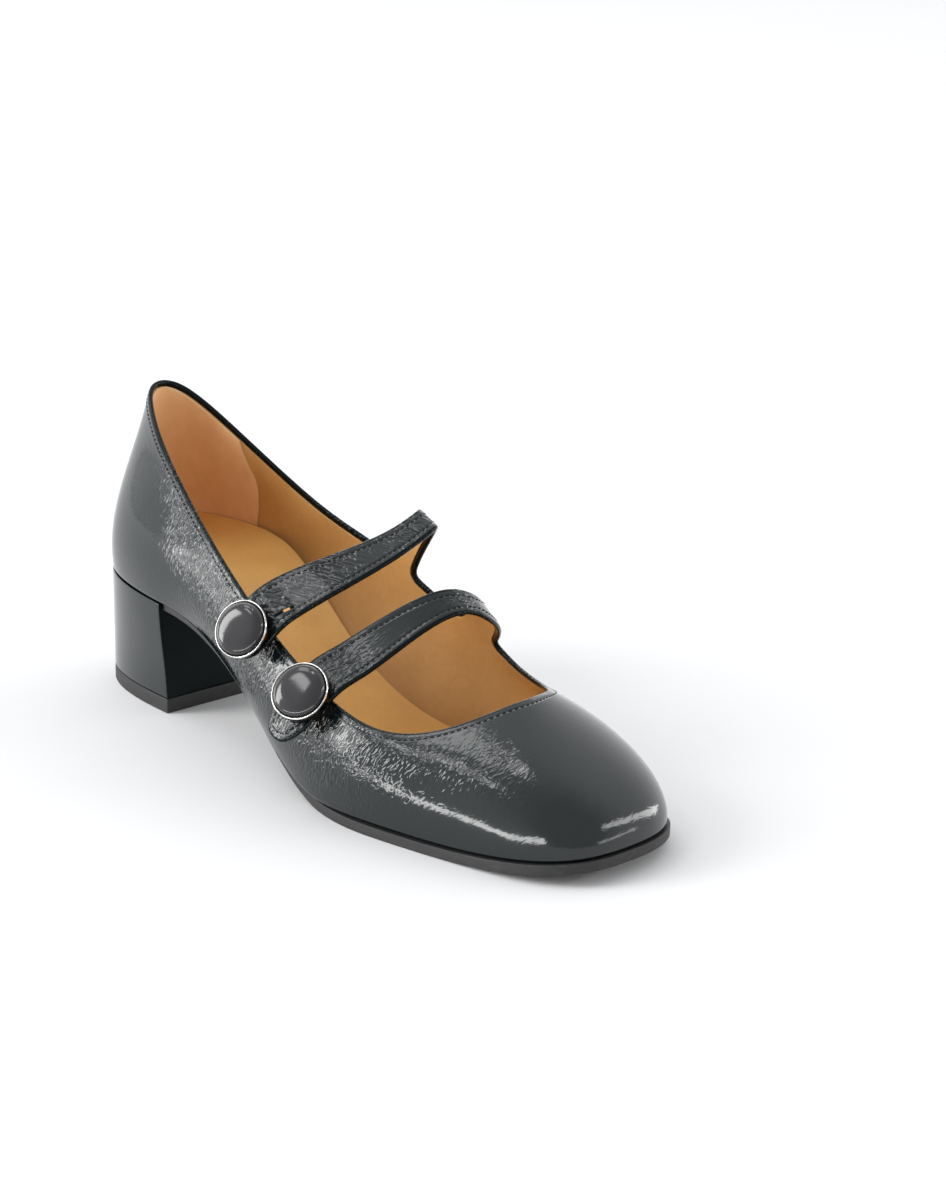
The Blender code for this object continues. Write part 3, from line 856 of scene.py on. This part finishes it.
@dataclass
class Upper:
    """The patent shell with its folded edge, its lining, its straps and its stitches."""

    patent: Material
    calf: Material
    suede: Material
    thread: Material
    levels: int = 2
    sharp: float = 60.0  # only a bend sharper than this shows an edge, degrees
    skin_bend: float = 55.0  # the outer face ends where it bends more sharply than this, degrees
    fold: float = 0.85 * MM  # radius of the folded top edge
    fold_steps: int = 6
    hem: float = 0.8 * MM  # how far the fold reaches down the inside
    settle: float = 6.0 * MM  # the sheet is drawn in over this run, to make room for the fold
    turn_under: float = 3.2 * MM  # leather that is lasted under the feather edge
    patent_wall: float = 0.4 * MM
    lining_from: float = 1.5 * MM  # below the top edge
    lining_foot: float = 0.6 * MM  # above the feather edge
    lining_depth: float = 1.2 * MM
    lining_wall: float = 0.5 * MM
    lining_tuck: float = 1.6 * MM  # what the sock holds down
    lining_ease: int = 12  # rounds of softening that keep it from creasing inside the straps' roots
    stitch_inset: float = 2.1 * MM
    stitch_pitch: float = 2.1 * MM
    stitch_length: float = 1.55 * MM
    stitch_width: float = 0.36 * MM
    grip_wall: float = 0.6 * MM
    grip_proud: float = 0.8  # how much of that stands in front of the lining
    grip_front: Profile = (  # how far forward the grip reaches at each height, mm
        (50.0, -88.0),
        (55.4, -86.8),
        (68.2, -82.4),
        (72.1, -81.9),
        (78.9, -84.0),
        (87.9, -85.6),
        (110.0, -89.0),
    )
    slit_middle: Triple = (-1.0, -25.5, 55.4)  # the rear strap's buttonhole, mm
    slit_along: Triple = (0.41, 0.85, 0.32)
    slit_face: Triple = (0.3, -0.45, 0.84)
    slit_none: float = 20.0  # how far along it all points off the straps are said to be, mm
    root_bend: float = 222.0  # a corner of the top edge this wide is a strap's root, degrees
    root_mark: float = 0.3  # what is left of a root's mark after the subdivision
    root_gap: float = 15.0 * MM  # a strap's edges leave the top line no further apart than this
    strap_least: float = 60.0 * MM  # a strap's edge is longer than this
    strap_ease: float = 9.0 * MM  # how far from its root a strap's own wrinkles are full
    near: int = 4  # how many steps of the top edge each way are searched for its nearest point
    plain: float = 0.03  # how strongly the leather is wrinkled where nothing else is said
    crinkle: tuple[float, float] = (0.05, 1.3)  # the least and the most
    spots: tuple[Spot, ...] = (
        Spot((-72, -16, 84), 8, 0.5),
        Spot((-60, -21, 73), 9, 0.7),
        Spot((-48, -25, 61), 11, 0.8),
        Spot((-35, -28, 52), 10, 0.7),
        Spot((-20, -30, 44), 10, 0.5),
        Spot((-8, -33, 36), 10, 0.8),
        Spot((16, -42, 29), 9, 0.7),
        Spot((29, -37, 22), 11, 0.8),
        Spot((48, -34, 21), 12, 0.48),
        Spot((66, -27, 25), 12, 0.26),
        Spot((86, -17, 28), 12, 0.24),
        Spot((-5, -24, 58), 13, 1.1),
        Spot((-2, -8, 64), 10, 0.9),
        Spot((3, 20, 76), 8, 0.7),
        Spot((22, -26, 44), 9, 1.1),
        Spot((38, 18, 61), 8, 0.7),
        Spot((-42, 32, 60), 16, 0.6),
        Spot((-14, 36, 46), 15, 0.7),
        Spot((14, 40, 36), 14, 0.6),
        Spot((40, 44, 26), 15, 0.6),
        Spot((66, 42, 22), 13, 0.4),
    )

    def build(self) -> None:
        """Makes every piece of the upper."""
        sheet = self.sheet()
        self.measure(sheet)
        self.draw_in(sheet)
        self.place_wrinkles(sheet)
        sheet.write("out", sheet.normals())
        self.stitches(sheet.copy())
        self.lining(sheet.copy())
        self.shell(sheet)

    def sheet(self) -> Shape:
        """The upper's outer face on its own, subdivided, with its strap roots marked.

        Returns:
            An open sheet.
        """
        shape = Shape.of_node("upper")
        shape.keep_skin(shape.toe(), self.skin_bend)
        shape.join_rows()
        wide = math.radians(self.root_bend)
        corners = [
            vertex.is_boundary and sum(loop.calc_angle() for loop in vertex.link_loops) > wide
            for vertex in shape.mesh.verts
        ]
        shape.write("corner", np.array(corners, float))
        LOG.info("strap roots found: %d", sum(corners))
        return shape.smoothed(self.levels)

    def strap_reach(self, sheet: Shape, rim: Rim) -> np.ndarray:
        """Finds which stretches of the top edge are straps, and how far along they run.

        Args:
            sheet: the upper's outer face.
            rim: its top edge.

        Returns:
            For every point of the edge, how far it is from its strap's nearer root, in metres. It
            is 0 off the straps.
        """
        weight = sheet.read("corner")[rim.order]
        ring = len(weight)
        roots = [
            i
            for i in range(ring)
            if weight[i] > self.root_mark
            and weight[i] >= weight[i - 1]
            and weight[i] > weight[(i + 1) % ring]
        ]
        steps = rim.steps()
        reach = np.zeros(ring)
        for here, there in zip(roots, roots[1:] + roots[:1]):
            arc = [(here + i) % ring for i in range((there - here) % ring + 1)]
            run = np.concatenate(([0.0], np.cumsum(steps[arc[:-1]])))
            gap = np.linalg.norm(rim.points[here] - rim.points[there])
            if gap < self.root_gap and run[-1] > self.strap_least:
                reach[arc] = np.minimum(run, run[-1] - run)
        LOG.info("strap edges: %d points", np.count_nonzero(reach))
        return reach

    def measure(self, sheet: Shape) -> None:
        """Writes on every point how far it is from both edges, and whether it lies on a strap.

        Args:
            sheet: the upper's outer face.
        """
        rim = Rim.of(sheet, End.TOP)
        nearest = self.nearest_along(sheet, rim)
        points = sheet.points()
        ring = len(rim.points)
        distance = np.full(len(points), np.inf)
        for shift in range(-self.near, self.near):
            here = rim.points[(nearest + shift) % ring]
            step = rim.points[(nearest + shift + 1) % ring] - here
            share = np.sum((points - here) * step, axis=1) / np.sum(step * step, axis=1)
            foot = here + step * np.clip(share, 0, 1)[:, None]
            distance = np.minimum(distance, np.linalg.norm(points - foot, axis=1))
        reach = self.strap_reach(sheet, rim)[nearest]
        sheet.write("edge", distance / MM)
        sheet.write("strap", smoothstep(reach / self.strap_ease))
        sheet.write("off", rim.off[nearest])
        foot = Rim.of(sheet, End.FOOT)
        gaps = np.linalg.norm(points[:, None, :2] - foot.points[None, :, :2], axis=2)
        nearest = np.argmin(gaps + np.abs(points[:, None, 2] - foot.points[None, :, 2]), axis=1)
        sheet.write("foot", np.linalg.norm(points - foot.points[nearest], axis=1) / MM)
        sheet.write("down", foot.off[nearest])

    @staticmethod
    def nearest_along(sheet: Shape, rim: Rim) -> np.ndarray:
        """Finds the point of an edge that is nearest to every vertex along the sheet itself.

        Args:
            sheet: the sheet.
            rim: one of its edges.

        Returns:
            For every vertex, the number of that point in the edge.
        """
        verts = sheet.mesh.verts
        verts.ensure_lookup_table()
        nearest = np.full(len(verts), -1)
        known = np.full(len(verts), np.inf)
        known[rim.order] = 0.0
        queue = [(0.0, index, place) for place, index in enumerate(rim.order.tolist())]
        heapq.heapify(queue)
        while queue:
            far, index, place = heapq.heappop(queue)
            if nearest[index] >= 0:
                continue
            nearest[index] = place
            for edge in verts[index].link_edges:
                other = edge.other_vert(verts[index]).index
                further = far + edge.calc_length()
                if further < known[other]:
                    known[other] = further
                    heapq.heappush(queue, (further, other, place))
        return nearest

    def draw_in(self, sheet: Shape) -> None:
        """Draws the top and the foot of the sheet in by the fold's radius.

        Args:
            sheet: the upper's outer face.
        """
        points = sheet.points()
        pull = np.zeros_like(points)
        for far, way in (("edge", "off"), ("foot", "down")):
            share = np.clip(1 - sheet.read(far) * MM / self.settle, 0, 1)
            pull += sheet.read(way) * share[:, None]
        sheet.move_to(points - pull * self.fold)

    def place_wrinkles(self, sheet: Shape) -> None:
        """Writes how wrinkled each point is, and where it lies on the buttonhole.

        Args:
            sheet: the upper's outer face.
        """
        points = sheet.points()
        level = np.full(len(points), self.plain)
        for spot in self.spots:
            far = np.linalg.norm(points - np.array(spot.at) * MM, axis=1)
            level += spot.more * np.exp(-((far / (spot.reach * MM)) ** 2))
        sheet.write("crinkle", np.clip(level, *self.crinkle))
        along, face = unit(np.array(self.slit_along)), unit(np.array(self.slit_face))
        away = (points - np.array(self.slit_middle) * MM) / MM
        on_strap = sheet.read("strap") > 0.5
        sheet.write("slit_along", np.where(on_strap, away @ along, self.slit_none))
        sheet.write("slit_across", away @ unit(np.cross(face, along)))

    def shell(self, sheet: Shape) -> None:
        """Folds the sheet over at the top and under at the feather edge, and ends it as a piece.

        Args:
            sheet: the upper's outer face.
        """
        for end, quarters, tail in ((End.TOP, 2, self.hem), (End.FOOT, 1, self.turn_under)):
            rim = Rim.of(sheet, end)
            count = quarters * self.fold_steps // 2 + 1
            hub = rim.points - rim.out * self.fold
            rows = [
                hub + self.fold * (rim.out * math.cos(angle) + rim.off * math.sin(angle))
                for angle in np.linspace(0, quarters * math.pi / 2, count)[1:]
            ]
            back = -rim.off if end is End.TOP else -rim.out * (1, 1, 0)
            rows += [rows[-1] + back * tail * share for share in (0.5, 1.0)]
            rim.extrude(sheet.mesh, rows)
        slot, wall = "patent_leather", self.patent_wall
        sheet.piece("patent_shell", self.patent, slot, ("upper",), self.sharp, wall)

    def lining(self, sheet: Shape) -> None:
        """The tan lining inside the shell and under the straps.

        Args:
            sheet: a copy of the upper's outer face.
        """
        sheet.trim(sheet.read("edge") * MM - self.lining_from)
        sheet.trim(sheet.read("foot") * MM - self.lining_foot)
        out = unit(sheet.softened(sheet.read("out"), self.lining_ease))
        sheet.move_to(sheet.points() - out * (self.lining_depth + self.lining_wall))
        sheet.write("out", out)
        self.grip(sheet.copy())
        foot = Rim.of(sheet, End.FOOT)
        inward = unit(foot.out * (1, 1, 0))
        foot.extrude(sheet.mesh, [foot.points - inward * self.lining_tuck])
        bmesh.ops.reverse_faces(sheet.mesh, faces=sheet.mesh.faces)
        sheet.piece("lining", self.calf, "sock_leather", sharp=self.sharp, wall=self.lining_wall)

    def grip(self, sheet: Shape) -> None:
        """The napped leather that lines the back of the heel.

        Args:
            sheet: a copy of the lining's inner face.
        """
        heights, fronts = np.array(self.grip_front).T
        points = sheet.points() / MM
        sheet.trim((np.interp(points[:, 2], heights, fronts) - points[:, 0]) * MM)
        proud = unit(sheet.read("out")) * self.grip_wall * self.grip_proud
        sheet.move_to(sheet.points() - proud)
        bmesh.ops.reverse_faces(sheet.mesh, faces=sheet.mesh.faces)
        sheet.piece("heel_grip", self.suede, "sock_leather", sharp=self.sharp, wall=self.grip_wall)

    def stitches(self, sheet: Shape) -> None:
        """One row of stitches, set in from the whole top edge.

        Args:
            sheet: a copy of the upper's outer face.
        """
        sheet.trim(sheet.read("edge") * MM - self.stitch_inset)
        rim = Rim.of(sheet, End.TOP)
        out = unit(sheet.read("out")[rim.order])
        points, out = (np.vstack((rows, rows[:1])) for rows in (rim.points, out))
        run = np.concatenate(([0.0], np.cumsum(rim.steps())))
        count = round(run[-1] / self.stitch_pitch)

        def at(turn: float, rows: np.ndarray) -> np.ndarray:
            """A row of values as many stitches on along the edge."""
            return np.array([np.interp(turn * run[-1] / count, run, column) for column in rows.T])

        row = Shape()
        for i in range(count):
            middle, ahead, facing = at(i + 0.5, points), at(i + 0.7, points), at(i + 0.5, out)
            along = unit(ahead - middle)
            facing = unit(facing - along * (facing @ along))
            length, width = self.stitch_length / 2, self.stitch_width / 2
            across = np.cross(facing, along)
            matrix = standing(along * length, across * width, facing * width, middle)
            bmesh.ops.create_uvsphere(
                row.mesh,
                u_segments=6,
                v_segments=5,
                radius=1.0,
                matrix=matrix @ Matrix.Rotation(math.pi / 2, 4, "Y"),
            )
        row.piece("edge_stitches", self.thread, "patent_leather")


# ---- the sock, the soles and the heel


@dataclass
class Sock:
    """The leather sock over the insole and its heel pad."""

    calf: Material
    bend: float = 50.0  # degrees; sharper edges are rounded
    edge: float = 0.7 * MM

    def build(self) -> None:
        """Makes the sock from its CAD node."""
        shape = Shape.rounded_node("insole", self.bend, self.edge)
        shape.piece("sock", self.calf, "sock_leather", ("insole",))


@dataclass
class Sole:
    """The thin rubber outsole."""

    rubber: Material
    bend: float = 50.0
    edge: float = 0.45 * MM

    def build(self) -> None:
        """Makes the outsole from its CAD node."""
        shape = Shape.rounded_node("outsole", self.bend, self.edge)
        shape.piece("sole", self.rubber, "sole_rubber", ("outsole",))


@dataclass
class Heel:
    """The covered heel block, the panel on its breast and the top piece under it."""

    patent: Material
    dull: Material
    rubber: Material
    bend: float = 40.0
    corner: float = 0.8 * MM
    edge: float = 0.4 * MM
    panel: float = 0.3 * MM
    panel_proud: float = 0.1 * MM
    panel_facing: float = 0.7  # the panel's faces point at least this much towards the toe

    def build(self) -> None:
        """Makes the cover, the panel and the top piece from their CAD nodes."""
        cover = Shape.rounded_node("heel_block", self.bend, self.corner, 3)
        self.breast(cover.copy())
        cover.piece("heel_cover", self.patent, "heel_leather", ("heel_block",))
        tread = Shape.rounded_node("top_piece", self.bend, self.edge)
        tread.piece("heel_tread", self.rubber, "heel_rubber", ("top_piece",))

    def breast(self, cover: Shape) -> None:
        """Lays a panel of duller leather on the face under the waist.

        Args:
            cover: a copy of the heel's cover.
        """
        cover.mesh.normal_update()
        rest = [face for face in cover.mesh.faces if face.normal.x < self.panel_facing]
        bmesh.ops.delete(cover.mesh, geom=rest, context="FACES")
        cover.move_to(cover.points() + cover.normals() * self.panel_proud)
        cover.piece("heel_breast", self.dull, "heel_leather", wall=self.panel)


# ---- the buttons


@dataclass
class Button:
    """A domed button: a metal seat on the strap, painted near black as painted shade, with a bright
    ring, and the dome set in it.

    Its profiles give radius and height in mm.
    """

    strap: str
    metal: Material
    shaded_metal: Material
    stone: Material
    steps: int = 96
    base: Profile = (
        *((0.0, 0.0), (7.6, 0.0), (8.6, 0.12), (9.1, 0.5), (9.24, 1.1), (9.26, 1.8)),
        *((9.26, 3.3), (9.1, 3.6), (8.6, 3.6), (8.6, 1.0), (0.0, 1.0)),
    )
    ring: Profile = (
        *((8.75, 3.1), (9.3, 3.1), (9.38, 3.25), (9.4, 3.6), (9.38, 3.82), (9.32, 3.98)),
        *((9.22, 4.08), (9.1, 4.1), (8.98, 4.04), (8.88, 3.92), (8.82, 3.74), (8.78, 3.5)),
        (8.75, 3.1),
    )
    dome: Profile = (
        *((0.0, 1.3), (8.4, 1.3), (8.52, 1.45), (8.56, 3.1), (8.52, 4.0), (8.32, 4.8)),
        *((7.9, 5.38), (7.25, 5.8), (6.3, 6.1), (5.0, 6.28), (3.0, 6.39), (0.0, 6.43)),
    )

    def seat(self) -> Matrix:
        """Where the button stands: its base's middle, with Z along its axis.

        Returns:
            The matrix from the button's own frame to the shoe's.
        """
        cup, cap = (
            np.array([v.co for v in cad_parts[f"{self.strap}_button_{part}"].data.vertices])
            for part in ("cup", "cap")
        )
        middle = cup.mean(axis=0)
        axis = unit(cap.mean(axis=0) - middle)
        base = middle + axis * np.min((cup - middle) @ axis)
        side = unit(np.array([1.0, 0.0, 0.0]) - axis * axis[0])
        return standing(side, np.cross(axis, side), axis, base)

    def turned(self, profile: Profile) -> Shape:
        """A solid of revolution on the button's seat.

        Args:
            profile: runs from the axis back to the axis, or is a closed ring.

        Returns:
            The closed shape.
        """
        shape = Shape()
        mesh = shape.mesh
        verts = [mesh.verts.new((radius * MM, 0, height * MM)) for radius, height in profile]
        edges = [mesh.edges.new(pair) for pair in zip(verts, verts[1:])]
        bmesh.ops.spin(
            mesh,
            geom=verts + edges,
            axis=(0, 0, 1),
            cent=(0, 0, 0),
            angle=2 * math.pi,
            steps=self.steps,
            use_merge=True,
        )
        bmesh.ops.remove_doubles(mesh, verts=mesh.verts, dist=0.001 * MM)
        bmesh.ops.recalc_face_normals(mesh, faces=mesh.faces)
        bmesh.ops.transform(mesh, matrix=self.seat(), verts=mesh.verts)
        return shape

    def build(self) -> None:
        """Makes the base, the ring on it and the dome."""
        for part, profile, finish, slot, stands_for in (
            ("base", self.base, self.shaded_metal, "button_metal", (f"{self.strap}_button_cup",)),
            ("ring", self.ring, self.metal, "button_metal", ()),
            ("dome", self.dome, self.stone, "button_dome", (f"{self.strap}_button_cap",)),
        ):
            self.turned(profile).piece(f"{self.strap}_{part}", finish, slot, stands_for)


# ---- the studio


def direction(azimuth: float, elevation: float) -> Vector:
    """From the shoe towards a viewer at this azimuth and elevation, in degrees."""
    turn, rise = math.radians(azimuth), math.radians(elevation)
    level = math.cos(rise)
    return Vector((math.sin(turn) * level, -math.cos(turn) * level, math.sin(rise)))


@dataclass(frozen=True)
class Lamp:
    """A soft rectangular light between two directions seen from the shoe."""

    name: str
    start: tuple[float, float]  # azimuth (0 is -Y, the outer side, and 90 is +X, the toe)
    end: tuple[float, float]  # and elevation, in degrees
    distance: float  # from the shoe, m
    depth: float  # its short side, degrees
    radiance: float
    matt: bool = True  # it lights matt surfaces too
    mirrored: bool = True  # it shows in glossy ones
    aim: float = 40.0 * MM  # how high up the shoe it is turned to

    def hang(self) -> None:
        """Adds the light, turned to the shoe."""
        first, last = (direction(*spot) * self.distance for spot in (self.start, self.end))
        middle = (first + last) / 2
        back = middle.normalized()
        along = (last - first).normalized()
        along = (along - back * along.dot(back)).normalized()
        light = bpy.data.lights.new(self.name, "AREA")
        light.shape = "RECTANGLE"
        light.size = (last - first).length
        light.size_y = 2 * middle.length * math.tan(math.radians(self.depth / 2))
        light.energy = self.radiance * math.pi * light.size * light.size_y
        holder = added(self.name, light)
        spot = middle + Vector((0, 0, self.aim))
        holder.matrix_world = standing(along, back.cross(along), back, spot)
        holder.visible_camera = False
        holder.visible_diffuse = self.matt
        holder.visible_glossy = self.mirrored


@dataclass
class Studio:
    """The pale floor, the light and the camera."""

    azimuth: float = 47.73
    elevation: float = 18.01
    roll: float = 1.08
    lens: float = 77.93
    sensor: float = 36.0
    clip: tuple[float, float] = (0.05, 60.0)
    distance: float = 1010.54 * MM
    target: tuple[float, float] = (-107.8 * MM, 151.18 * MM)  # on the floor, in the view's middle
    floor: float = 30.0  # half its side, m
    sky: float = 1.12
    sky_tint: Triple = (0.975, 0.985, 1.0)
    dusk: float = 0.42  # how much darker the room is behind the camera
    dusk_at: tuple[float, float] = (65.0, 35.0)
    dusk_ends: tuple[float, float] = (0.3, 0.85)  # cosines from there where it starts and is full
    lamps: tuple[Lamp, ...] = (
        Lamp("window", (-43.0, -1.0), (-34.0, 38.0), 6.0, 15.0, 9.5),
        Lamp("window_edge", (-30.0, -1.0), (-22.0, 38.0), 6.0, 10.0, 8.0, mirrored=False),
        Lamp("upper_window", (-34.0, 51.5), (-13.0, 51.5), 6.0, 7.0, 5.5),
        Lamp("roof_strip", (-35.0, 75.0), (-90.0, 82.5), 6.0, 4.6, 7.0, matt=False),
        Lamp("side_strip", (-58.5, 8.5), (-43.0, -12.0), 0.165, 9.0, 5.5, matt=False),
        Lamp("low_strip", (-12.0, -14.0), (45.0, -14.0), 0.145, 4.4, 10.0, matt=False),
        Lamp("low_strip_end", (45.0, -13.5), (64.0, -8.3), 0.145, 4.0, 9.0, matt=False),
        Lamp("toe_strip", (116.0, 29.0), (180.0, -4.0), 6.0, 8.0, 5.0),
        Lamp("low_toe_strip", (101.0, 4.0), (138.0, 4.0), 6.0, 5.0, 3.0),
        Lamp("backdrop", (-150.0, 20.0), (-62.0, 20.0), 6.0, 36.0, 1.0, matt=False),
        Lamp("overhead", (-90.0, 62.0), (-42.0, 62.0), 6.0, 14.0, 3.0),
    )

    def build(self) -> None:
        """Sets the studio up round the shoe."""
        self.lay_floor()
        self.light_world()
        for lamp in self.lamps:
            lamp.hang()
        self.place_camera()

    def lay_floor(self) -> None:
        """The plain pale floor."""
        shape = Shape()
        bmesh.ops.create_grid(shape.mesh, x_segments=2, y_segments=2, size=self.floor)
        floor = shape.held("floor")
        floor.data.materials.append(PAPER.material())

    def light_world(self) -> None:
        """A pale surround that darkens towards the room behind the camera."""
        recipe = Recipe(bpy.data.worlds.new("surround"))
        place = recipe.node("ShaderNodeTexCoord", {}, {}).outputs["Generated"]
        ends = {0: place, 1: direction(*self.dusk_at)}
        facing = recipe.value("ShaderNodeVectorMath", {"operation": "DOT_PRODUCT"}, ends, "Value")
        low, high = self.dusk_ends
        ends = {0: facing, 1: low, 2: high, 3: self.sky, 4: self.sky * (1 - self.dusk)}
        fade = recipe.value("ShaderNodeMapRange", {"interpolation_type": "SMOOTHSTEP"}, ends)
        sockets = {"Color": (*self.sky_tint, 1.0), "Strength": fade}
        light = recipe.node("ShaderNodeBackground", {}, sockets).outputs[0]
        recipe.node("ShaderNodeOutputWorld", {}, {"Surface": light})
        bpy.context.scene.world = recipe.holder
        bpy.context.scene.view_settings.view_transform = "Standard"

    def place_camera(self) -> None:
        """The camera, at the height of a seated viewer in front of the toe's outer side."""
        back = direction(self.azimuth, self.elevation)
        turn, tilt = math.radians(self.azimuth), math.radians(self.roll)
        level = Vector((math.cos(turn), math.sin(turn), 0))
        upright = back.cross(level)
        right = level * math.cos(tilt) + upright * math.sin(tilt)
        up = upright * math.cos(tilt) - level * math.sin(tilt)
        lens = bpy.data.cameras.new("camera")
        lens.lens = self.lens
        lens.sensor_width = self.sensor
        lens.clip_start, lens.clip_end = self.clip
        camera = added("camera", lens)
        spot = Vector((*self.target, 0)) + back * self.distance
        camera.matrix_world = standing(right, up, back, spot)
        bpy.context.scene.camera = camera


def main() -> None:
    """Builds the shoe's pieces and the studio."""
    logging.basicConfig(level=logging.INFO, format="%(name)s: %(message)s")
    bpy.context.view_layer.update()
    patent = Patent("patent_leather_fine").material()
    heel_patent = BlackLeather("patent_leather_heel").material()
    breast = BlackLeather("dull_leather_breast", dull=0.36, lacquer=0.0, shine=0.12).material()
    rubber, silver, shaded_metal, stone = (
        finish.material() for finish in (RUBBER, SILVER, SHADED_SILVER, SMOKED_STONE)
    )
    Upper(patent, CALF.material(), SUEDE.material(), THREAD.material()).build()
    Sock(LIT_SOCK_CALF.material()).build()
    Sole(rubber).build()
    Heel(heel_patent, breast, rubber).build()
    for strap in ("rear", "front"):
        Button(strap, silver, shaded_metal, stone).build()
    Studio().build()


if __name__ == "__main__":
    main()
